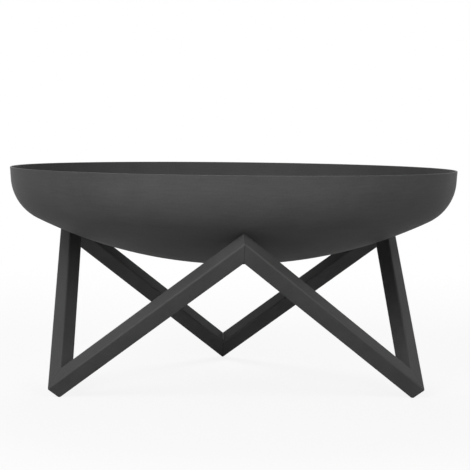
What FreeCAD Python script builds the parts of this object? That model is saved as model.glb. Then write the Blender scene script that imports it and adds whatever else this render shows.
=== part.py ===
import FreeCAD, Part
import math
import os
from types import SimpleNamespace

import Sketcher
from FreeCAD import Placement, Rotation, Vector

# Fire bowl resting on a zigzag stand of six mitred square tubes.
# Millimetres, +Z up. The origin is on the floor, under the middle of the bowl.
# One foot stands at the back, on +Y, and one upper corner of the stand at the front, on -Y.

# Driving sizes, in millimetres and degrees
SIZES = {
    "rim_diameter": (800, "bowl across the outside of its lip"),
    "sheet_thickness": (3, "steel of the bowl"),
    "crown_radius": (800, "inside of the shallow crown"),
    "knuckle_radius": (80, "inside of the bend between crown and flange"),
    "flange_height": (21, "straight wall above the bend"),
    "flange_flare": (4, "lean of that wall from upright, degrees"),
    "lip_round": (0.8, "broken edge along both sides of the lip"),
    "tube_side": (30, "square tube, outside"),
    "tube_wall": (2, "square tube, wall"),
    "tube_corner": (3, "square tube, outside corner radius"),
    "foot_radius": (349.5, "axis to the crossing of two tube centre lines at a foot"),
    "apex_radius": (342.5, "axis to the crossing of two tube centre lines at a top corner"),
    "stand_rise": (245.5, "height of the upper crossings over the lower ones"),
    "foot_grind": (1, "height ground off each foot's corner to stand flat"),
    "seat_gap": (0.3, "clearance between the bowl and the stand's top corners"),
    "weld_leg": (2, "bead in the inner corner of each mitre"),
}

# Corners of the zigzag, evenly spaced round the axis from the back by way of the left
CORNERS = ("foot_rear", "apex_left", "foot_left", "apex_front", "foot_right", "apex_right")
FEET, APEXES = CORNERS[0::2], CORNERS[1::2]
CORNER_TURN = 360 / len(CORNERS)

# Each tube's foot and top corner
STRUTS = {
    "strut_front_left": ("foot_left", "apex_front"),
    "strut_front_right": ("foot_right", "apex_front"),
    "strut_left": ("foot_left", "apex_left"),
    "strut_right": ("foot_right", "apex_right"),
    "strut_rear_left": ("foot_rear", "apex_left"),
    "strut_rear_right": ("foot_rear", "apex_right"),
}
UP = Vector(0, 0, 1)
BACK = Vector(0, 1, 0)
OUTLINE_STEPS = 720


def make_sheet(doc):
    """The driving sizes as a spreadsheet, one alias to a row."""
    sheet = doc.addObject("Spreadsheet::Sheet", "Sizes")
    for row, (name, (value, note)) in enumerate(SIZES.items(), start=1):
        sheet.set(f"A{row}", note)
        sheet.set(f"B{row}", str(value))
        sheet.setAlias(f"B{row}", name)
    doc.recompute()
    return SimpleNamespace(**{name: float(sheet.get(name)) for name in SIZES})


# Bowl

def bowl_section(size):
    """Centres and ends of the arcs of the bowl's outside, measured from its lowest point."""
    crown = size.crown_radius + size.sheet_thickness
    knuckle = size.knuckle_radius + size.sheet_thickness
    flare = math.radians(size.flange_flare)
    bend_r = size.rim_diameter / 2 - size.flange_height * math.tan(flare)
    knuckle_r = bend_r - knuckle * math.cos(flare)
    knuckle_z = crown - math.sqrt((crown - knuckle) ** 2 - knuckle_r ** 2)
    bend_z = knuckle_z - knuckle * math.sin(flare)
    return SimpleNamespace(
        crown=crown,
        knuckle=knuckle,
        flare=flare,
        knuckle_r=knuckle_r,
        knuckle_z=knuckle_z,
        bend_r=bend_r,
        bend_z=bend_z,
        turn=math.atan2(knuckle_z - crown, knuckle_r),
        depth=bend_z + size.flange_height,
    )


def bowl_underside(section, r):
    """Height of the bowl's outside at radius r, over its lowest point."""
    if r < section.crown * math.cos(section.turn):
        return section.crown - math.sqrt(section.crown ** 2 - r ** 2)
    if r < section.bend_r:
        return section.knuckle_z - math.sqrt(section.knuckle ** 2 - (r - section.knuckle_r) ** 2)
    return section.bend_z + (r - section.bend_r) / math.tan(section.flare)


def plane_of(body, role):
    return next(f for f in body.Origin.OriginFeatures if f.Role == role)


def sketch_on(body, role, name):
    sketch = body.newObject("Sketcher::SketchObject", name)
    sketch.AttachmentSupport = [(plane_of(body, role), "")]
    sketch.MapMode = "FlatFace"
    return sketch


def constrain(sketch, name, formula, *terms):
    """A named constraint whose value follows the spreadsheet."""
    index = sketch.addConstraint(Sketcher.Constraint(*terms))
    sketch.renameConstraint(index, name)
    sketch.setExpression(f"Constraints.{name}", formula)


def arc(r, z, radius, start, end):
    return Part.ArcOfCircle(Part.Circle(Vector(r, z, 0), Vector(0, 0, 1), radius), start, end)


def line(start, end):
    return Part.LineSegment(Vector(*start, 0), Vector(*end, 0))


def draw_bowl(body, size, section):
    """Closed section of the bowl's sheet, right of its axis."""
    inner_knuckle = size.knuckle_radius
    rim_r = size.rim_diameter / 2
    rim_inner_r = rim_r - size.sheet_thickness / math.cos(section.flare)
    bend_inner = (
        section.knuckle_r + inner_knuckle * math.cos(section.flare),
        section.knuckle_z - inner_knuckle * math.sin(section.flare),
    )
    sketch = sketch_on(body, "XZ_Plane", "BowlSection")
    down = -math.pi / 2
    crown_out, knuckle_out, flange_out, lip, flange_in, knuckle_in, crown_in, axis = sketch.addGeometry([
        arc(0, section.crown, section.crown, down, section.turn),
        arc(section.knuckle_r, section.knuckle_z, section.knuckle, section.turn, -section.flare),
        line((section.bend_r, section.bend_z), (rim_r, section.depth)),
        line((rim_r, section.depth), (rim_inner_r, section.depth)),
        line((rim_inner_r, section.depth), bend_inner),
        arc(section.knuckle_r, section.knuckle_z, inner_knuckle, section.turn, -section.flare),
        arc(0, section.crown, size.crown_radius, down, section.turn),
        line((0, size.sheet_thickness), (0, 0)),
    ])
    start, end, centre = 1, 2, 3
    origin, vertical_axis = (-1, 1), -2
    sketch.addConstraint([
        Sketcher.Constraint("Coincident", crown_out, start, *origin),
        Sketcher.Constraint("PointOnObject", crown_out, centre, vertical_axis),
        Sketcher.Constraint("Coincident", crown_out, centre, crown_in, centre),
        Sketcher.Constraint("Coincident", knuckle_out, centre, knuckle_in, centre),
        Sketcher.Constraint("Tangent", crown_out, end, knuckle_out, start),
        Sketcher.Constraint("Tangent", knuckle_out, end, flange_out, start),
        Sketcher.Constraint("Coincident", flange_out, end, lip, start),
        Sketcher.Constraint("Horizontal", lip),
        Sketcher.Constraint("Coincident", lip, end, flange_in, start),
        Sketcher.Constraint("Tangent", flange_in, end, knuckle_in, end),
        Sketcher.Constraint("Tangent", knuckle_in, start, crown_in, end),
        Sketcher.Constraint("Coincident", crown_in, start, axis, start),
        Sketcher.Constraint("Coincident", axis, end, crown_out, start),
        Sketcher.Constraint("Vertical", axis),
    ])
    constrain(sketch, "CrownRadius", "Sizes.crown_radius", "Radius", crown_in, size.crown_radius)
    constrain(sketch, "KnuckleRadius", "Sizes.knuckle_radius", "Radius", knuckle_in, inner_knuckle)
    constrain(sketch, "Sheet", "Sizes.sheet_thickness", "Distance", axis, size.sheet_thickness)
    constrain(sketch, "RimRadius", "Sizes.rim_diameter / 2", "DistanceX", *origin, flange_out, end, rim_r)
    constrain(sketch, "FlangeHeight", "Sizes.flange_height", "DistanceY", flange_out, start, flange_out, end,
              size.flange_height)
    constrain(sketch, "FlangeAngle", "90 - Sizes.flange_flare", "Angle", flange_out,
              math.pi / 2 - section.flare)
    return sketch


def make_bowl(doc, size, section, seat):
    """The bowl, turned about its axis and set down on the stand."""
    body = doc.addObject("PartDesign::Body", "FireBowl")
    body.Label = "fire_bowl"
    sketch = draw_bowl(body, size, section)
    turned = body.newObject("PartDesign::Revolution", "BowlShell")
    turned.Profile = sketch
    turned.ReferenceAxis = (sketch, ["V_Axis"])
    turned.Angle = 360
    doc.recompute()
    lip_edges = [
        f"Edge{number}"
        for number, edge in enumerate(turned.Shape.Edges, start=1)
        if edge.BoundBox.ZMin > section.depth - size.lip_round
    ]
    rounded = body.newObject("PartDesign::Fillet", "LipRound")
    rounded.Base = (turned, lip_edges)
    rounded.setExpression("Radius", "Sizes.lip_round")
    body.Placement = Placement(Vector(0, 0, seat), Rotation())
    return body


# Stand

def direction(corner):
    """Level direction from the axis to a corner of the zigzag."""
    return Rotation(UP, CORNER_TURN * CORNERS.index(corner)).multVec(BACK)


def neighbours(corner):
    """The corners before and after one, going round."""
    index = CORNERS.index(corner)
    return CORNERS[index - 1], CORNERS[(index + 1) % len(CORNERS)]


def crossing(size, corner):
    """Where the centre lines of two tubes cross, with the lower crossings at height 0."""
    if corner in FEET:
        return direction(corner) * size.foot_radius
    return direction(corner) * size.apex_radius + UP * size.stand_rise


def strut_frame(size, foot, apex):
    """Directions of a tube: along it up to the apex, out of the plane of its foot's V, and across."""
    low, high = crossing(size, foot), crossing(size, apex)
    before, after = (crossing(size, corner) for corner in neighbours(foot))
    along = (high - low).normalize()
    out = (after - low).cross(before - low).normalize()
    return SimpleNamespace(low=low, high=high, along=along, out=out, across=along.cross(out))


def tube_outline(size, frame, turn):
    """Point of the tube's rounded outline that faces the angle turn, from the tube's centre line."""
    flat = size.tube_side / 2 - size.tube_corner
    out = math.copysign(flat, math.cos(turn)) + size.tube_corner * math.cos(turn)
    across = math.copysign(flat, math.sin(turn)) + size.tube_corner * math.sin(turn)
    return frame.out * out + frame.across * across


def on_mitre(point, frame, corner):
    """The point moved along the tube until it lies in a corner's mitre plane, upright through the axis."""
    normal = UP.cross(direction(corner))
    return point - frame.along * (point.dot(normal) / frame.along.dot(normal))


def mitre_outline(size, frame, corner):
    """Points round the tube's outline in the mitre plane of one of its two corners."""
    centre = crossing(size, corner)
    turns = [2 * math.pi * step / OUTLINE_STEPS for step in range(OUTLINE_STEPS)]
    return [on_mitre(centre + tube_outline(size, frame, turn), frame, corner) for turn in turns]


def foot_height(size):
    """Height of the lower crossings that puts the ground feet on the floor."""
    foot, apex = STRUTS["strut_rear_left"]
    frame = strut_frame(size, foot, apex)
    return -min(point.z for point in mitre_outline(size, frame, foot)) - size.foot_grind


def seat_height(size, section):
    """Height of the bowl's lowest point when its outside just clears the stand's top corners."""
    foot, apex = STRUTS["strut_front_left"]
    outline = mitre_outline(size, strut_frame(size, foot, apex), apex)
    return foot_height(size) + size.seat_gap + max(
        point.z - bowl_underside(section, math.hypot(point.x, point.y)) for point in outline
    )


def draw_square(body, name, formula, side):
    """A square centred on its sketch's origin."""
    half = side / 2
    corners = [(-half, -half), (half, -half), (half, half), (-half, half)]
    sketch = sketch_on(body, "XY_Plane", name)
    sides = sketch.addGeometry([line(corners[i], corners[(i + 1) % 4]) for i in range(4)])
    for i in range(4):
        sketch.addConstraint(Sketcher.Constraint("Coincident", sides[i], 2, sides[(i + 1) % 4], 1))
        sketch.addConstraint(Sketcher.Constraint("Vertical" if i % 2 else "Horizontal", sides[i]))
    sketch.addConstraint(Sketcher.Constraint("Symmetric", sides[0], 1, sides[2], 1, -1, 1))
    constrain(sketch, "Width", formula, "DistanceX", sides[0], 1, sides[0], 2, side)
    constrain(sketch, "Height", formula, "DistanceY", sides[1], 1, sides[1], 2, side)
    return sketch


def make_blank(doc, name, size, frame, lift):
    """A length of square tube along a strut's centre line, longer than the strut at both ends."""
    spare = 2 * size.tube_side
    body = doc.addObject("PartDesign::Body", f"{name}_blank")
    pad = body.newObject("PartDesign::Pad", f"{name}_bar")
    pad.Profile = draw_square(body, f"{name}_outside", "Sizes.tube_side", size.tube_side)
    pad.setExpression(
        "Length",
        "sqrt(Sizes.foot_radius ^ 2 + Sizes.apex_radius ^ 2 - Sizes.foot_radius * Sizes.apex_radius"
        " + Sizes.stand_rise ^ 2) + 4 * Sizes.tube_side",
    )
    doc.recompute()
    long_edges = [
        f"Edge{number}"
        for number, edge in enumerate(pad.Shape.Edges, start=1)
        if edge.Length > size.tube_side + spare
    ]
    rounded = body.newObject("PartDesign::Fillet", f"{name}_corners")
    rounded.Base = (pad, long_edges)
    rounded.setExpression("Radius", "Sizes.tube_corner")
    doc.recompute()
    bore = body.newObject("PartDesign::Pocket", f"{name}_bore")
    bore.Profile = draw_square(
        body, f"{name}_inside", "Sizes.tube_side - 2 * Sizes.tube_wall", size.tube_side - 2 * size.tube_wall
    )
    bore.Type = "ThroughAll"
    bore.Reversed = True
    body.Placement = Placement(
        frame.low + UP * lift - frame.along * spare,
        Rotation(frame.out, frame.across, frame.along, "ZXY"),
    )
    return body


def make_sector(doc, name, first):
    """The upright wedge between a corner's mitre plane and the next one, standing on the floor."""
    sector = doc.addObject("Part::Cylinder", f"{name}_sector")
    sector.setExpression("Radius", "Sizes.foot_radius + Sizes.apex_radius + 2 * Sizes.tube_side")
    sector.setExpression("Height", "Sizes.stand_rise + 4 * Sizes.tube_side")
    sector.Angle = CORNER_TURN
    sector.Placement = Placement(Vector(), Rotation(direction(first), UP.cross(direction(first)), UP, "ZXY"))
    return sector


def make_strut(doc, name, size, lift):
    """One tube of the zigzag, mitred at both ends and ground flat at the floor."""
    foot, apex = STRUTS[name]
    before, after = neighbours(foot)
    strut = doc.addObject("Part::Common", name.title().replace("_", ""))
    strut.Label = name
    strut.Base = make_blank(doc, name, size, strut_frame(size, foot, apex), lift)
    strut.Tool = make_sector(doc, name, foot if apex == after else before)
    return strut


def make_bead(doc, label, start, along, first, second):
    """A weld bead in the crook between two tube faces, which run from it towards first and second."""
    bead = doc.addObject("Part::Cylinder", label.title().replace("_", ""))
    bead.Label = label
    bead.setExpression("Radius", "Sizes.weld_leg")
    bead.setExpression("Height", "Sizes.tube_side - 2 * Sizes.tube_corner - 2 * Sizes.weld_leg")
    bead.Angle = math.degrees(first.getAngle(second))
    bead.Placement = Placement(start, Rotation(first, along.cross(first), along, "ZXY"))
    return bead


def bead_start(size, frame, vertex, corner, along, face):
    """Where a bead starts on the mitre line of a tube's face, so that it is centred on the tube."""
    length = size.tube_side - 2 * size.tube_corner - 2 * size.weld_leg
    return on_mitre(vertex + face * (size.tube_side / 2), frame, corner) - along * (length / 2)


def make_foot_weld(doc, foot, size, lift):
    """Bead in the crook of a foot's V."""
    before, after = (strut_frame(size, foot, apex) for apex in neighbours(foot))
    face = (before.along - after.along * before.along.dot(after.along)).normalize()
    start = bead_start(size, after, after.low + UP * lift, foot, after.out, face)
    return make_bead(doc, f"weld_{foot}", start, after.out, after.along, before.along)


def make_apex_weld(doc, apex, size, lift):
    """Bead in the crook under a top corner, between the inner undersides of its two tubes."""
    before, after = (strut_frame(size, foot, apex) for foot in neighbours(apex))
    along = before.out.cross(after.out).normalize()
    start = bead_start(size, before, before.high + UP * lift, apex, along, -before.out)
    return make_bead(doc, f"weld_{apex}", start, along, along.cross(after.out), before.out.cross(along))


# Assembly

def check(doc, pieces):
    """Stops the build where an object failed or a piece is not a sound solid."""
    failed = [o.Name for o in doc.Objects if {"Invalid", "Error"} & set(o.State)]
    if failed:
        raise RuntimeError(f"failed objects: {failed}")
    for piece in pieces:
        shape = piece.Shape
        if shape.isNull() or not shape.isValid() or not shape.Solids:
            raise RuntimeError(f"{piece.Label} is not a sound solid")


def main():
    doc = FreeCAD.newDocument("Brazier")
    size = make_sheet(doc)
    section = bowl_section(size)
    lift = foot_height(size)
    pieces = [make_bowl(doc, size, section, seat_height(size, section))]
    pieces += [make_strut(doc, name, size, lift) for name in STRUTS]
    pieces += [make_foot_weld(doc, foot, size, lift) for foot in FEET]
    pieces += [make_apex_weld(doc, apex, size, lift) for apex in APEXES]
    doc.recompute()
    check(doc, pieces)
    os.makedirs("parts", exist_ok=True)
    for piece in pieces:
        piece.Shape.exportStep(f"parts/{piece.Label}.step")
        box = piece.Shape.BoundBox
        print(f"{piece.Label}: volume {piece.Shape.Volume:.1f}, z {box.ZMin:.2f} to {box.ZMax:.2f}")


main()
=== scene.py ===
# %% [markdown]
# A fire bowl on a zigzag stand. The construction is already settled: a dished steel bowl rests loose on
# the three top corners of a stand of six mitred square tubes. This lesson gives every piece its
# finished surface. All lengths are metres, +Z is up, and the origin is on the floor under the middle of
# the bowl.

import math

import bmesh
import bpy
from mathutils import Matrix, Vector


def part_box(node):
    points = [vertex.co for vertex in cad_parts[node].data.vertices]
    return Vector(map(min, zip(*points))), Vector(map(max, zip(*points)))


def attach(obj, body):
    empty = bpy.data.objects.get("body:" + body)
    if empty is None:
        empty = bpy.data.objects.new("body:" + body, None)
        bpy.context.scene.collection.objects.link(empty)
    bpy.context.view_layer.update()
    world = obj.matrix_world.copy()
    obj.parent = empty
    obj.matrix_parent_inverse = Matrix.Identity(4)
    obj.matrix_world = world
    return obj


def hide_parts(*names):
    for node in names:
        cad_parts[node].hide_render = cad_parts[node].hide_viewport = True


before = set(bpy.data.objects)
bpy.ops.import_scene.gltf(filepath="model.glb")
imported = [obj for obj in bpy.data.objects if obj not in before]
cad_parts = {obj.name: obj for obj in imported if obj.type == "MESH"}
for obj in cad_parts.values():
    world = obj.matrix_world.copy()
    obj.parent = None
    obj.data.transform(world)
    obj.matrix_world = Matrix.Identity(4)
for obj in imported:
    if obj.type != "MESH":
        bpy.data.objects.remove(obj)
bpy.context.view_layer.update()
MM = 0.001

# %% [markdown]
# The camera stands where the photograph was taken: just over three metres away, low, looking slightly
# down through a long lens. The stand is turned a little in that view, so here the camera is swung
# instead, which keeps the object square in its own frame. The picture's small roll is kept as well.

# %% Camera
IMAGE_PIXELS = 470
FOCAL_PIXELS = 1823
SENSOR_WIDTH = 36  # a full-frame sensor, in millimetres as the lens is
CAMERA_DISTANCE = 3.282
CAMERA_HEIGHT = 0.487
CAMERA_SWING = math.radians(3.07)
CAMERA_PITCH = math.radians(3.82)
CAMERA_ROLL = math.radians(0.62)
CAMERA_ASIDE = 3.4 * MM

camera_data = bpy.data.cameras.new("camera")
camera_data.sensor_width = SENSOR_WIDTH
camera_data.lens = SENSOR_WIDTH * FOCAL_PIXELS / IMAGE_PIXELS
camera = bpy.data.objects.new("camera", camera_data)
bpy.context.scene.collection.objects.link(camera)
swing = Matrix.Rotation(-CAMERA_SWING, 4, "Z")
place = Matrix.Translation((CAMERA_ASIDE, -CAMERA_DISTANCE, CAMERA_HEIGHT))
tilt = Matrix.Rotation(math.pi / 2 - CAMERA_PITCH, 4, "X")
roll = Matrix.Rotation(CAMERA_ROLL, 4, "Z")
camera.matrix_world = swing @ place @ tilt @ roll
bpy.context.scene.camera = camera
camera_place = [round(v, 3) for v in camera.matrix_world.translation]
print("camera:", round(camera_data.lens, 1), "mm lens at", camera_place)

# %% [markdown]
# Three small helpers carry every material below. Colours are written as the sRGB hex values that a paint
# chart or a picture editor shows, and the first helper turns them into the linear values that a renderer
# adds up. The second adds one node with its settings, its fixed values and its links. The third starts a
# material with no nodes in it.

# %% Helpers for materials
def linear(hex_colour):
    """Linear RGBA of an sRGB hex colour."""
    channels = [int(hex_colour[i:i + 2], 16) / 255 for i in (1, 3, 5)]
    return [c / 12.92 if c <= 0.04045 else ((c + 0.055) / 1.055) ** 2.4 for c in channels] + [1]


def add_node(tree, kind, links=None, values=None, **settings):
    """One node: links maps its inputs to other nodes' outputs, values sets its other inputs."""
    node = tree.nodes.new(kind)
    for name, value in settings.items():
        setattr(node, name, value)
    for socket, value in (values or {}).items():
        node.inputs[socket].default_value = value
    for socket, output in (links or {}).items():
        tree.links.new(output, node.inputs[socket])
    return node


def new_material(name):
    """A material with an empty node tree, and that tree."""
    material = bpy.data.materials.new(name)
    material.use_nodes = True
    material.node_tree.nodes.clear()
    return material, material.node_tree


print("a mid grey of #808080 is", round(linear("#808080")[0], 3), "in linear light")

# %% [markdown]
# The studio is a white floor that runs into a white surround. The surround is plain white where the
# camera or a reflection looks at it, and gives no light of its own, so that the white background doesn't
# wash out the dark paint.

# %% Surround
world = bpy.data.worlds.new("white_surround")
bpy.context.scene.world = world
world.use_nodes = True
sky = world.node_tree
sky.nodes.clear()
rays = add_node(sky, "ShaderNodeLightPath")
seen = add_node(sky, "ShaderNodeMath", operation="MAXIMUM",
                links={0: rays.outputs["Is Camera Ray"], 1: rays.outputs["Is Glossy Ray"]})
seen = add_node(sky, "ShaderNodeMath", operation="MAXIMUM",
                links={0: seen.outputs[0], 1: rays.outputs["Is Transmission Ray"]})
white = add_node(sky, "ShaderNodeBackground", values={"Color": linear("#ffffff")},
                 links={"Strength": seen.outputs[0]})
add_node(sky, "ShaderNodeOutputWorld", links={"Surface": white.outputs[0]})
print("surround: white to look at, with no light of its own")

# %% [markdown]
# The floor is matt board. To the camera most of it is plain white, mixed near the object with a share of
# the light that really falls there, so that it keeps the object's faint shadow. Further out it fades into
# the white of the surround. To the object it is a pale grey board that sends the lamps' light back up: a
# truly white one would light the underside of the bowl as strongly as its front.

# %% Floor
FLOOR_RADIUS = 14
FLOOR_SEGMENTS = 96
FLOOR_FADE = (0.9, 2.6)  # how far out the fading starts and ends
FLOOR_GLOW = 0.88  # share of plain white near the object
BOARD_SEEN = "#fafafa"
BOARD_AS_REFLECTOR = "#dadada"


def floor_board():
    """Matt board that fades into the white surround."""
    material, tree = new_material("white_floor_board")
    rays = add_node(tree, "ShaderNodeLightPath")
    board = add_node(tree, "ShaderNodeMix", data_type="RGBA",
                     links={"Factor": rays.outputs["Is Camera Ray"]},
                     values={"A": linear(BOARD_AS_REFLECTOR), "B": linear(BOARD_SEEN)})
    matt = add_node(tree, "ShaderNodeBsdfDiffuse", links={"Color": board.outputs["Result"]})
    glow = add_node(tree, "ShaderNodeEmission", values={"Color": linear("#ffffff"), "Strength": 1})
    place = add_node(tree, "ShaderNodeTexCoord")
    away = add_node(tree, "ShaderNodeVectorMath", operation="LENGTH", links={0: place.outputs["Object"]})
    fade = add_node(tree, "ShaderNodeMapRange", interpolation_type="SMOOTHSTEP",
                    links={"Value": away.outputs["Value"]},
                    values={"From Min": FLOOR_FADE[0], "From Max": FLOOR_FADE[1]})
    mirrored = add_node(tree, "ShaderNodeMath", operation="MAXIMUM",
                        links={0: rays.outputs["Is Glossy Ray"], 1: rays.outputs["Is Transmission Ray"]})
    far = add_node(tree, "ShaderNodeMath", operation="MULTIPLY",
                   links={0: mirrored.outputs[0], 1: fade.outputs["Result"]})
    near = add_node(tree, "ShaderNodeMapRange", links={"Value": fade.outputs["Result"]},
                    values={"To Min": FLOOR_GLOW})
    share = add_node(tree, "ShaderNodeMath", operation="MULTIPLY_ADD",
                     links={0: rays.outputs["Is Camera Ray"], 1: near.outputs["Result"], 2: far.outputs[0]})
    mix = add_node(tree, "ShaderNodeMixShader",
                   links={0: share.outputs[0], 1: matt.outputs[0], 2: glow.outputs[0]})
    add_node(tree, "ShaderNodeOutputMaterial", links={"Surface": mix.outputs[0]})
    return material


floor_mesh = bpy.data.meshes.new("floor")
disc = bmesh.new()
bmesh.ops.create_circle(disc, cap_ends=True, radius=FLOOR_RADIUS, segments=FLOOR_SEGMENTS)
disc.to_mesh(floor_mesh)
disc.free()
floor_mesh.materials.append(floor_board())
floor = bpy.data.objects.new("floor", floor_mesh)
bpy.context.scene.collection.objects.link(floor)
print("floor: a board of", FLOOR_RADIUS, "m radius, white beyond", FLOOR_FADE[1], "m")

# %% [markdown]
# Three square soft panels light it as in the photograph. Two stand in front, to either side and a little
# above the object, and the left one is twice as strong, which gives the tubes a light and a dark side.
# The third hangs behind and lights the inside of the bowl, the back and the floor there.

# %% Lamps
TARGET = Vector((0, 0, 0.25))
PANEL_SIDE = 1.6
LAMPS = {
    "left_panel": {"place": (-1.43, -2.48, 1.90), "watts": 60},
    "right_panel": {"place": (1.43, -2.48, 1.90), "watts": 29},
    "back_panel": {"place": (0.0, 2.33, 2.58), "watts": 58},
}
for name, lamp in LAMPS.items():
    data = bpy.data.lights.new(name, "AREA")
    data.shape = "SQUARE"
    data.size = PANEL_SIDE
    data.energy = lamp["watts"]
    panel = bpy.data.objects.new(name, data)
    panel.location = lamp["place"]
    panel.rotation_euler = (TARGET - panel.location).to_track_quat("-Z", "Y").to_euler()
    bpy.context.scene.collection.objects.link(panel)
    away = (TARGET - panel.location).length
    print(f"{name}: {PANEL_SIDE} m square, {lamp['watts']} W, {away:.1f} m away")

# %% [markdown]
# The paint is a heat-resistant silicone paint, sprayed in one anthracite coat on blasted steel and
# baked. That gives the eye a dull satin: a broad, weak sheen, a very fine orange peel, and soft cloudy
# changes where the coat is thicker or thinner. Wet paint draws back from every sharp edge, so there it
# is thinnest and a little paler, and that paler colour is also a painted highlight for the light that
# the rounded corners and the lip catch. The peel of real sprayed paint is under a millimetre wide, too
# fine to show at this size, so it is drawn a few times coarser. The clouds are as wide as a spray gun's
# overlapping passes. Each piece marks its own edges with a number from 0 to 1, and the steel beneath
# can add marks of its own, such as a painted shade along a hairline. The coat reflects far less than a
# smooth paint of its IOR would, because its matting powder scatters the light.

# %% Heat-resistant paint
PEEL_WIDTH, PEEL_DETAIL = 2.5 * MM, 1
PEEL_DEPTH = 0.03 * MM
PEEL_STRENGTH = 0.35
CLOUD_WIDTH, CLOUD_DETAIL, CLOUD_ROUGHNESS = 55 * MM, 3, 0.55
GRAIN_WIDTH, GRAIN_DETAIL = 2.2 * MM, 2
GRAIN_SHARE = 0.4
PAINT_THICK = "#4e4e4e"
PAINT_THIN = "#575757"
# paler paint on edges: thin paint, and also a painted highlight on the rounded corners and the lip
PAINT_ON_EDGES_AND_HIGHLIGHT = "#5a5a5a"
# darker paint along each hairline: a painted shade
SHADE_PAINTED_IN_SEAMS = "#3a3a3a"
COAT_SPREAD = (0.35, 0.65)  # values of the noise that give the thickest and the thinnest coat
SATIN_SPREAD = (0.3, 0.7)  # and those that give the glossiest and the dullest places
SATIN = (0.50, 0.60)
PAINT_IOR = 1.45
PAINT_SPECULAR = 0.08
SHEEN_WEIGHT, SHEEN_ROUGHNESS = 0.02, 0.3
# name of the edge mark: thin paint and a painted highlight
EDGE_PALENESS_AND_HIGHLIGHT = "thin_paint_and_highlight"


def silicone_paint(name, roughness=SATIN, beneath=None):
    """Sprayed and baked anthracite paint; beneath adds what the steel under it shows through the coat, and
    may add a painted shade along seams.
    """
    material, tree = new_material(name)
    place = add_node(tree, "ShaderNodeTexCoord").outputs["Object"]
    clouds = add_node(tree, "ShaderNodeTexNoise", links={"Vector": place},
                      values={"Scale": 1 / CLOUD_WIDTH, "Detail": CLOUD_DETAIL,
                              "Roughness": CLOUD_ROUGHNESS})
    grain = add_node(tree, "ShaderNodeTexNoise", links={"Vector": place},
                     values={"Scale": 1 / GRAIN_WIDTH, "Detail": GRAIN_DETAIL})
    blend = add_node(tree, "ShaderNodeMix", data_type="FLOAT", values={"Factor": GRAIN_SHARE},
                     links={"A": clouds.outputs["Fac"], "B": grain.outputs["Fac"]})
    peel = add_node(tree, "ShaderNodeTexNoise", links={"Vector": place},
                    values={"Scale": 1 / PEEL_WIDTH, "Detail": PEEL_DETAIL})
    coat, height, seam_shade = blend.outputs["Result"], peel.outputs["Fac"], None
    if beneath:
        coat, height, seam_shade = beneath(tree, place, coat, height)
    spread = add_node(tree, "ShaderNodeMapRange", links={"Value": coat},
                      values={"From Min": COAT_SPREAD[0], "From Max": COAT_SPREAD[1]})
    colour = add_node(tree, "ShaderNodeMix", data_type="RGBA", links={"Factor": spread.outputs["Result"]},
                      values={"A": linear(PAINT_THICK), "B": linear(PAINT_THIN)})
    # edges made paler: partly thin paint, partly a painted highlight
    edges = add_node(tree, "ShaderNodeAttribute", attribute_name=EDGE_PALENESS_AND_HIGHLIGHT)
    colour = add_node(tree, "ShaderNodeMix", data_type="RGBA", values={"B": linear(PAINT_ON_EDGES_AND_HIGHLIGHT)},
                      links={"Factor": edges.outputs["Fac"], "A": colour.outputs["Result"]})
    # painted shade along the hairlines that beneath gives
    if seam_shade:
        colour = add_node(tree, "ShaderNodeMix", data_type="RGBA", values={"B": linear(SHADE_PAINTED_IN_SEAMS)},
                          links={"Factor": seam_shade, "A": colour.outputs["Result"]})
    dull = add_node(tree, "ShaderNodeMapRange", links={"Value": clouds.outputs["Fac"]},
                    values={"From Min": SATIN_SPREAD[0], "From Max": SATIN_SPREAD[1],
                            "To Min": roughness[0], "To Max": roughness[1]})
    bump = add_node(tree, "ShaderNodeBump", links={"Height": height},
                    values={"Strength": PEEL_STRENGTH, "Distance": PEEL_DEPTH})
    paint = add_node(tree, "ShaderNodeBsdfPrincipled",
                     links={"Base Color": colour.outputs["Result"], "Roughness": dull.outputs["Result"],
                            "Normal": bump.outputs["Normal"]},
                     values={"IOR": PAINT_IOR, "Specular IOR Level": PAINT_SPECULAR,
                             "Sheen Weight": SHEEN_WEIGHT, "Sheen Roughness": SHEEN_ROUGHNESS})
    add_node(tree, "ShaderNodeOutputMaterial", links={"Surface": paint.outputs[0]})
    print(name, "with", len(tree.nodes), "nodes")
    return material


# %% [markdown]
# Every piece below is drawn as a mesh and finished in the same way. Smooth shading alone would also
# round off the flat faces of the tubes, so edges with a sharp bend are kept sharp and the larger faces
# win where a flat face runs into a rounded corner. The piece then rides on a body of the construction
# and stands for one node.

# %% Finishing a piece
SHARP_BEND = math.radians(35)


def finish_mesh(name, bm, material, body, node):
    """Turns a bmesh into a smooth-shaded piece that stands for a node of the construction."""
    bmesh.ops.recalc_face_normals(bm, faces=bm.faces)
    mesh = bpy.data.meshes.new(name)
    bm.to_mesh(mesh)
    bm.free()
    mesh.shade_smooth()
    mesh.set_sharp_from_angle(angle=SHARP_BEND)
    mesh.materials.append(material)
    piece = bpy.data.objects.new(name, mesh)
    bpy.context.scene.collection.objects.link(piece)
    weighted = piece.modifiers.new("flat_faces_stay_flat", "WEIGHTED_NORMAL")
    weighted.keep_sharp = True
    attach(piece, body)
    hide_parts(node)
    return piece


print("edges that bend by more than", round(math.degrees(SHARP_BEND)), "degrees stay sharp")

# %% [markdown]
# The bowl is a dished end, the stock form that boilermakers press and spin from a flat disc: a shallow
# crown, a tight knuckle and a short, slightly flared flange. Its section is only three curves, so it is
# drawn once as a row of points. The lip is the sheet's own edge, with its corners broken.

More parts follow.
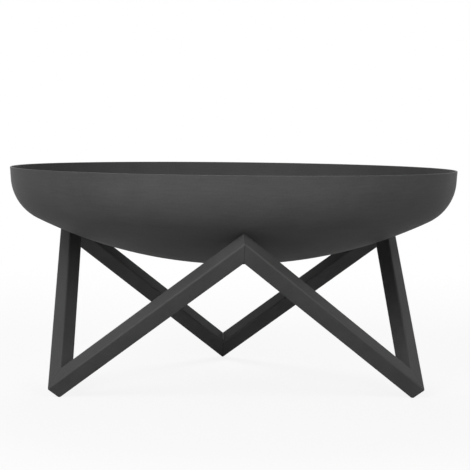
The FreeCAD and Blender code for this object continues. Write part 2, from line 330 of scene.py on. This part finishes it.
# %% Section of the bowl
RIM_RADIUS = 400 * MM
SHEET = 3 * MM
CROWN_RADIUS = 800 * MM
KNUCKLE_RADIUS = 80 * MM
FLANGE_HEIGHT = 21 * MM
FLANGE_FLARE = math.radians(4)
LIP_ROUND = 0.8 * MM
CROWN_STEPS, KNUCKLE_STEPS, FLANGE_STEPS, LIP_STEPS = 26, 18, 3, 5

bowl_low, bowl_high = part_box("fire_bowl")


def arc(centre, radius, start, end, steps):
    """Points along an arc in the section plane, as (distance from the axis, height)."""
    turns = [start + (end - start) * i / steps for i in range(steps + 1)]
    return [(centre[0] + radius * math.cos(t), centre[1] + radius * math.sin(t)) for t in turns]


def between(a, b, steps):
    """The points that divide the line from a to b."""
    return [(a[0] + (b[0] - a[0]) * i / steps, a[1] + (b[1] - a[1]) * i / steps) for i in range(1, steps)]


def bowl_section():
    """The sheet's outline, from the bottom outside, over the lip, to the bottom inside."""
    crown_out, knuckle_out = CROWN_RADIUS + SHEET, KNUCKLE_RADIUS + SHEET
    crown = (0, bowl_low.z + crown_out)
    bend_r = RIM_RADIUS - FLANGE_HEIGHT * math.tan(FLANGE_FLARE)
    knuckle_r = bend_r - knuckle_out * math.cos(FLANGE_FLARE)
    knuckle = (knuckle_r, crown[1] - math.sqrt((crown_out - knuckle_out) ** 2 - knuckle_r ** 2))
    turn = math.atan2(knuckle[1] - crown[1], knuckle[0])
    down = -math.pi / 2
    outside = arc(crown, crown_out, down, turn, CROWN_STEPS)[:-1]
    outside += arc(knuckle, knuckle_out, turn, -FLANGE_FLARE, KNUCKLE_STEPS)
    inside = arc(crown, CROWN_RADIUS, down, turn, CROWN_STEPS)[:-1]
    inside += arc(knuckle, KNUCKLE_RADIUS, turn, -FLANGE_FLARE, KNUCKLE_STEPS)
    wall_r = RIM_RADIUS - LIP_ROUND * math.tan(FLANGE_FLARE)
    inner_r = wall_r - SHEET / math.cos(FLANGE_FLARE)
    lip_z = bowl_high.z - LIP_ROUND
    lip = arc((wall_r - LIP_ROUND, lip_z), LIP_ROUND, 0, math.pi / 2, LIP_STEPS)
    lip += arc((inner_r + LIP_ROUND, lip_z), LIP_ROUND, math.pi / 2, math.pi, LIP_STEPS)
    outside += between(outside[-1], lip[0], FLANGE_STEPS)
    inside += between(inside[-1], lip[-1], FLANGE_STEPS)
    return outside + lip + inside[::-1]


section = bowl_section()
depth = max(z for r, z in section) - bowl_low.z
print("section of the bowl:", len(section), "points,", round(depth, 4), "m deep")

# %% [markdown]
# The roller that pressed the sheet into its form leaves fine rings, and they show through the coat as
# faint streaks. Plain rings would close on themselves all round, which a roller that wanders never
# does. So the streaks come from noise that is fine across the rings and slow along them: the distance
# from the axis drives it quickly, and the way round only slowly.

# %% Spinning marks in the bowl's paint
RING_WIDTH, RING_DETAIL = 3 * MM, 2
RING_RUN = 30 * MM
RINGS_IN_COAT = 0.3
RINGS_IN_RELIEF = 0.4
LEVEL_PART, UPRIGHT_PART = (1, 1, 0), (0, 0, 1)


def spinning_rings(tree, place, coat, height):
    """Faint streaks round the bowl, where the spinner's roller passed, each running a few centimetres."""
    flat = add_node(tree, "ShaderNodeVectorMath", operation="MULTIPLY", links={0: place},
                    values={1: LEVEL_PART})
    around = add_node(tree, "ShaderNodeVectorMath", operation="NORMALIZE",
                      links={0: flat.outputs["Vector"]})
    reach = add_node(tree, "ShaderNodeVectorMath", operation="LENGTH", links={0: flat.outputs["Vector"]})
    upright = add_node(tree, "ShaderNodeVectorMath", operation="MULTIPLY", links={0: place},
                       values={1: UPRIGHT_PART})
    route = add_node(tree, "ShaderNodeVectorMath", operation="MULTIPLY_ADD",
                     links={0: around.outputs["Vector"], 2: upright.outputs["Vector"]},
                     values={1: [RIM_RADIUS * RING_WIDTH / RING_RUN] * 3})
    rings = add_node(tree, "ShaderNodeTexNoise", noise_dimensions="4D",
                     links={"Vector": route.outputs["Vector"], "W": reach.outputs["Value"]},
                     values={"Scale": 1 / RING_WIDTH, "Detail": RING_DETAIL})
    coat = add_node(tree, "ShaderNodeMix", data_type="FLOAT", values={"Factor": RINGS_IN_COAT},
                    links={"A": coat, "B": rings.outputs["Fac"]})
    height = add_node(tree, "ShaderNodeMix", data_type="FLOAT", values={"Factor": RINGS_IN_RELIEF},
                      links={"A": height, "B": rings.outputs["Fac"]})
    return coat.outputs["Result"], height.outputs["Result"], None


bowl_paint = silicone_paint("silicone_paint_on_bowl", beneath=spinning_rings)

# %% [markdown]
# The section is now turned about the axis, as on a lathe: each of its points becomes a ring, or a single
# point where it lies on the axis. Blender's own tools to spin a line and merge its points could do this
# too, but they leave the points in another order at every run, so the rings are laid one by one. That
# gives even quads all round, which shade better than the long triangles of a converted solid. The lip is
# marked as an edge where the paint is thin, and its paler colour is also a painted highlight along the rim.

# %% Bowl
BOWL_SEGMENTS = 192
ON_AXIS = 0.01 * MM  # a point nearer to the axis than this lies on it
# the lip's paler mark, thin paint and a painted highlight along the rim, and how far down it reaches
LIP_PALENESS_AND_HIGHLIGHT = 0.5
LIP_PALENESS_AND_HIGHLIGHT_REACH = 0.95 * LIP_ROUND


def spun_bowl():
    """The sheet's section turned about the axis, with the lip marked paler: thin paint and a painted
    highlight.
    """
    bm = bmesh.new()
    edge_paleness_and_highlight = bm.verts.layers.float.new(EDGE_PALENESS_AND_HIGHLIGHT)
    turns = [2 * math.pi * i / BOWL_SEGMENTS for i in range(BOWL_SEGMENTS)]
    rings = []
    for r, z in section:
        if r < ON_AXIS:
            rings.append([bm.verts.new((0, 0, z))] * BOWL_SEGMENTS)
        else:
            rings.append([bm.verts.new((r * math.cos(t), r * math.sin(t), z)) for t in turns])
    for ring, following in zip(rings, rings[1:]):
        for i in range(BOWL_SEGMENTS):
            corners = (ring[i - 1], ring[i], following[i], following[i - 1])
            bm.faces.new(tuple(dict.fromkeys(corners)))
    for vert in bm.verts:
        if vert.co.z > bowl_high.z - LIP_PALENESS_AND_HIGHLIGHT_REACH:
            vert[edge_paleness_and_highlight] = LIP_PALENESS_AND_HIGHLIGHT
    return bm


bowl = finish_mesh("fire_bowl_shell", spun_bowl(), bowl_paint, "bowl", "fire_bowl")
print("bowl:", len(bowl.data.polygons), "faces,", [round(v, 4) for v in bowl.dimensions], "m")

# %% [markdown]
# The stand is a closed zigzag of 30 mm square tube: three feet and three top corners, its apexes, in
# turn round the axis. One tube could be modelled, mirrored and turned to the six places, but every tube
# is a piece of its own in the construction, so each is worked out from its two corners. The two tubes
# of a foot's V share a plane, which settles how each is turned about its own length, and each mitre
# lies in an upright plane through the axis.

# %% Corners and directions of the tubes
TUBE_SIDE = 30 * MM
TUBE_CORNER = 3 * MM
FOOT_RADIUS = 349.5 * MM
APEX_RADIUS = 342.5 * MM
STAND_RISE = 245.5 * MM
FOOT_GRIND = 1 * MM
CORNER_STEPS = 6
UP = Vector((0, 0, 1))
BACK = Vector((0, 1, 0))
CORNERS = ("foot_rear", "apex_left", "foot_left", "apex_front", "foot_right", "apex_right")
FEET, APEXES = CORNERS[0::2], CORNERS[1::2]
CORNER_TURN = 2 * math.pi / len(CORNERS)


def direction(corner):
    """Level direction from the axis to a corner of the zigzag."""
    return Matrix.Rotation(CORNER_TURN * CORNERS.index(corner), 3, "Z") @ BACK


def neighbours(corner):
    """The corners before and after one, going round."""
    index = CORNERS.index(corner)
    return CORNERS[index - 1], CORNERS[(index + 1) % len(CORNERS)]


def crossing(corner):
    """Where the centre lines of two tubes cross, with the lower crossings at height 0."""
    if corner in FEET:
        return direction(corner) * FOOT_RADIUS
    return direction(corner) * APEX_RADIUS + UP * STAND_RISE


class Strut:
    """Directions of one tube: along it up to the apex, out of the plane of its foot's V, and across."""

    def __init__(self, foot, apex):
        before, after = (crossing(corner) - crossing(foot) for corner in neighbours(foot))
        self.foot, self.apex = foot, apex
        self.along = (crossing(apex) - crossing(foot)).normalized()
        self.out = after.cross(before).normalized()
        self.across = self.along.cross(self.out)

    def onto_mitre(self, point, corner):
        """The point moved along the tube into a corner's mitre plane."""
        normal = UP.cross(direction(corner))
        return point - self.along * (point.dot(normal) / self.along.dot(normal))

    def ring(self, corner, inset=0, shift=0):
        """The tube's outline in a mitre plane, drawn in by inset and moved along the tube by shift."""
        flat, radius = TUBE_SIDE / 2 - TUBE_CORNER, TUBE_CORNER - inset
        points = []
        for quarter in range(4):
            middle = math.pi / 2 * (quarter + 0.5)
            for step in range(CORNER_STEPS + 1):
                turn = math.pi / 2 * (quarter + step / CORNER_STEPS)
                out = math.copysign(flat, math.cos(middle)) + radius * math.cos(turn)
                across = math.copysign(flat, math.sin(middle)) + radius * math.sin(turn)
                point = crossing(corner) + self.out * out + self.across * across
                points.append(self.onto_mitre(point, corner) + self.along * shift)
        return points


struts = {
    "strut_front_left": Strut("foot_left", "apex_front"),
    "strut_front_right": Strut("foot_right", "apex_front"),
    "strut_left": Strut("foot_left", "apex_left"),
    "strut_right": Strut("foot_right", "apex_right"),
    "strut_rear_left": Strut("foot_rear", "apex_left"),
    "strut_rear_right": Strut("foot_rear", "apex_right"),
}
STAND_LIFT = UP * (-min(point.z for point in struts["strut_rear_left"].ring("foot_rear")) - FOOT_GRIND)
rise = math.degrees(math.asin(struts["strut_left"].along.z))
print(f"each tube climbs at {rise:.1f} degrees; the lower crossings lie {STAND_LIFT.z / MM:.1f} mm up")

# %% [markdown]
# The joints are welded all round, and on the outside the weld is ground flush. The disc leaves a band
# of fine scratches on both sides of the joint, where the coat looks very slightly paler, and a hairline
# where the two tubes meet, along which the paint is darker as a painted shade. The marks belong to the
# mitre planes and not to one tube, so the paint finds them by the angle round the axis: folded back and
# forth, it gives the distance to the nearest mitre plane. Each mark keeps its full strength up to one
# distance from that plane and is gone at another. Real scratches are finer than the picture can show and
# are drawn coarser.

# %% Ground mitres in the stand's paint
GROUND_REACH = (3.5 * MM, 7 * MM)
SCRATCH_WIDTH, SCRATCH_DETAIL, SCRATCH_TWIST = 1.5 * MM, 2, 1.5
SCRATCH_PALENESS = 0.06
# painted shade along the hairline: full up to the first distance, gone at the second, and how dark
HAIRLINE_SHADE_REACH = (0.3 * MM, 1.2 * MM)
HAIRLINE_SHADE_STRENGTH = 0.5


def ground_mitres(tree, place, coat, height):
    """Bands at the mitres, where the weld was ground flush: paler, scratched, with a painted shade along a
    hairline between.
    """
    parts = add_node(tree, "ShaderNodeSeparateXYZ", links={0: place})
    flat = add_node(tree, "ShaderNodeVectorMath", operation="MULTIPLY", links={0: place},
                    values={1: LEVEL_PART})
    reach = add_node(tree, "ShaderNodeVectorMath", operation="LENGTH", links={0: flat.outputs["Vector"]})
    from_back = add_node(tree, "ShaderNodeMath", operation="ARCTAN2",
                         links={0: parts.outputs["X"], 1: parts.outputs["Y"]})
    off = add_node(tree, "ShaderNodeMath", operation="PINGPONG", links={0: from_back.outputs[0]},
                   values={1: CORNER_TURN / 2})
    sine = add_node(tree, "ShaderNodeMath", operation="SINE", links={0: off.outputs[0]})
    gap = add_node(tree, "ShaderNodeMath", operation="MULTIPLY",
                   links={0: sine.outputs[0], 1: reach.outputs["Value"]})
    band = add_node(tree, "ShaderNodeMapRange", interpolation_type="SMOOTHSTEP",
                    links={"Value": gap.outputs[0]},
                    values={"From Min": GROUND_REACH[0], "From Max": GROUND_REACH[1],
                            "To Min": 1, "To Max": 0})
    scratches = add_node(tree, "ShaderNodeTexNoise", links={"Vector": place},
                         values={"Scale": 1 / SCRATCH_WIDTH, "Detail": SCRATCH_DETAIL,
                                 "Distortion": SCRATCH_TWIST})
    paler = add_node(tree, "ShaderNodeMath", operation="MULTIPLY",
                     links={0: band.outputs["Result"], 1: scratches.outputs["Fac"]})
    coat = add_node(tree, "ShaderNodeMath", operation="MULTIPLY_ADD", links={0: paler.outputs[0], 2: coat},
                    values={1: SCRATCH_PALENESS})
    height = add_node(tree, "ShaderNodeMix", data_type="FLOAT",
                      links={"Factor": band.outputs["Result"], "A": height, "B": scratches.outputs["Fac"]})
    # painted shade along the hairline between the tubes
    hairline_shade = add_node(tree, "ShaderNodeMapRange", interpolation_type="SMOOTHSTEP",
                        links={"Value": gap.outputs[0]},
                        values={"From Min": HAIRLINE_SHADE_REACH[0], "From Max": HAIRLINE_SHADE_REACH[1],
                                "To Min": HAIRLINE_SHADE_STRENGTH, "To Max": 0})
    return coat.outputs[0], height.outputs["Result"], hairline_shade.outputs["Result"]


stand_paint = silicone_paint("silicone_paint_on_stand", beneath=ground_mitres)

# %% [markdown]
# A long box cut by two mitre planes would do for a tube, but cutting leaves untidy faces at the rounded
# corners. So a tube is drawn as its rounded outline, pushed along the tube until it lies in each mitre
# plane, and neighbours meet exactly. A second outline just beside each end, a hair larger, makes the
# hairline a real, very shallow groove. Last, each foot's corner is ground to the floor: what lies below
# it is cut away.

# %% Tubes of the stand
HAIRLINE_DEPTH = 0.15 * MM
HAIRLINE_WIDTH = 0.8 * MM


def mitred_tube(strut):
    """One tube between its two mitre planes, with its rounded edges marked paler, as thin paint and a
    painted highlight, and its foot on the floor.
    """
    outlines = [
        strut.ring(strut.foot, inset=HAIRLINE_DEPTH),
        strut.ring(strut.foot, shift=HAIRLINE_WIDTH),
        strut.ring(strut.apex, shift=-HAIRLINE_WIDTH),
        strut.ring(strut.apex, inset=HAIRLINE_DEPTH),
    ]
    bm = bmesh.new()
    edge_paleness_and_highlight = bm.verts.layers.float.new(EDGE_PALENESS_AND_HIGHLIGHT)
    rings = [[bm.verts.new(point + STAND_LIFT) for point in outline] for outline in outlines]
    # each rounded edge is marked most at its middle: thin paint and a painted highlight
    for ring in rings:
        for i, vert in enumerate(ring):
            vert[edge_paleness_and_highlight] = math.sin(math.pi * (i % (CORNER_STEPS + 1)) / CORNER_STEPS)
    for ring, following in zip(rings, rings[1:]):
        for i in range(len(ring)):
            bm.faces.new((ring[i - 1], ring[i], following[i], following[i - 1]))
    bm.faces.new(rings[0])
    bm.faces.new(rings[-1])
    everything = list(bm.verts) + list(bm.edges) + list(bm.faces)
    bmesh.ops.bisect_plane(bm, geom=everything, plane_co=(0, 0, 0), plane_no=-UP, clear_outer=True)
    bmesh.ops.edgeloop_fill(bm, edges=[edge for edge in bm.edges if edge.is_boundary])
    return bm


for name, strut in struts.items():
    tube = finish_mesh(f"{name}_tube", mitred_tube(strut), stand_paint, "stand", name)
    low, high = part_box(name)
    spans = list(zip(*tube.bound_box))
    drift = max(max(abs(min(spans[i]) - low[i]), abs(max(spans[i]) - high[i])) for i in range(3))
    print(f"{name}: {len(tube.data.polygons)} faces, within {drift / MM:.2f} mm of the construction")

# %% [markdown]
# In each crook a bead of weld shows, which no disc can reach. A hand-held torch lays it as overlapping
# puddles, which freeze as small crescents. A bump map could hint at them, but a bead is looked at
# closely, so it gets real relief: a row of sections across the crook, each with the nearly flat face of
# a fillet weld. Their size swells and dips once per puddle, a little later towards the middle, which
# bends the ripples into crescents.

# %% Weld beads
WELD_LEG = 2 * MM
WELD_LENGTH = TUBE_SIDE - 2 * TUBE_CORNER - 2 * WELD_LEG
PUDDLE = 2 * MM
PUDDLE_STEPS, FACE_STEPS = 8, 10
RIPPLE = 0.09  # dip between two puddles, as a share of the bead's size
CRESCENT_LAG = 0.35  # how much later the middle of the face dips, in puddles
FACE_CROWN = 0.15  # 0 is a flat face, 1 a round one
END_TAPER = 2.5 * MM
END_SIZE = 0.15
WELD_SATIN = (0.44, 0.52)


def rippled_bead(middle, along, first, second):
    """A bead centred on the corner line, between two face directions that leave the corner."""
    angle = first.angle(second)
    sideways = (second - first * second.dot(first)).normalized()
    steps = round(WELD_LENGTH / PUDDLE * PUDDLE_STEPS)
    bm = bmesh.new()
    rows = []
    for step in range(steps + 1):
        run = WELD_LENGTH * step / steps
        end = min(run, WELD_LENGTH - run)
        swell = math.sqrt(1 - max(0.0, 1 - end / END_TAPER) ** 2)
        corner = middle + along * (run - WELD_LENGTH / 2)
        row = [bm.verts.new(corner)]
        for i in range(FACE_STEPS + 1):
            share = i / FACE_STEPS
            turn = angle * share
            flat = math.cos(angle / 2) / math.cos(turn - angle / 2)
            face = flat + FACE_CROWN * (1 - flat)
            lag = CRESCENT_LAG * math.sin(math.pi * share)
            ripple = 1 - RIPPLE * abs(math.sin(math.pi * (run / PUDDLE - lag)))
            reach = max(END_SIZE, swell * ripple) * face * WELD_LEG
            row.append(bm.verts.new(corner + (first * math.cos(turn) + sideways * math.sin(turn)) * reach))
        rows.append(row)
    for row, following in zip(rows, rows[1:]):
        for i in range(len(row)):
            bm.faces.new((row[i - 1], row[i], following[i], following[i - 1]))
    bm.faces.new(rows[0])
    bm.faces.new(rows[-1])
    return bm


def crook_of_foot(foot):
    """Middle of the corner line inside a foot's V, its direction and the two directions out of it."""
    before, after = (Strut(foot, apex) for apex in neighbours(foot))
    inward = (before.along - after.along * before.along.dot(after.along)).normalized()
    middle = after.onto_mitre(crossing(foot) + inward * (TUBE_SIDE / 2), foot) + STAND_LIFT
    return middle, after.out, after.along, before.along


def crook_of_apex(apex):
    """The same under a top corner, where the inner undersides of two tubes meet."""
    before, after = (Strut(foot, apex) for foot in neighbours(apex))
    along = before.out.cross(after.out).normalized()
    middle = before.onto_mitre(crossing(apex) - before.out * (TUBE_SIDE / 2), apex) + STAND_LIFT
    return middle, along, along.cross(after.out), before.out.cross(along)


weld_paint = silicone_paint("silicone_paint_on_welds", roughness=WELD_SATIN)
crooks = {f"weld_{foot}": crook_of_foot(foot) for foot in FEET}
crooks.update({f"weld_{apex}": crook_of_apex(apex) for apex in APEXES})
for name, crook in crooks.items():
    bead = finish_mesh(f"{name}_bead", rippled_bead(*crook), weld_paint, "stand", name)
    print(f"{name}: {len(bead.data.polygons)} faces, {WELD_LENGTH / MM:.0f} mm long")

# %% [markdown]
# Last, the picture's tones are shown as they are rendered.

# %% Finish
bpy.context.scene.view_settings.view_transform = "Standard"
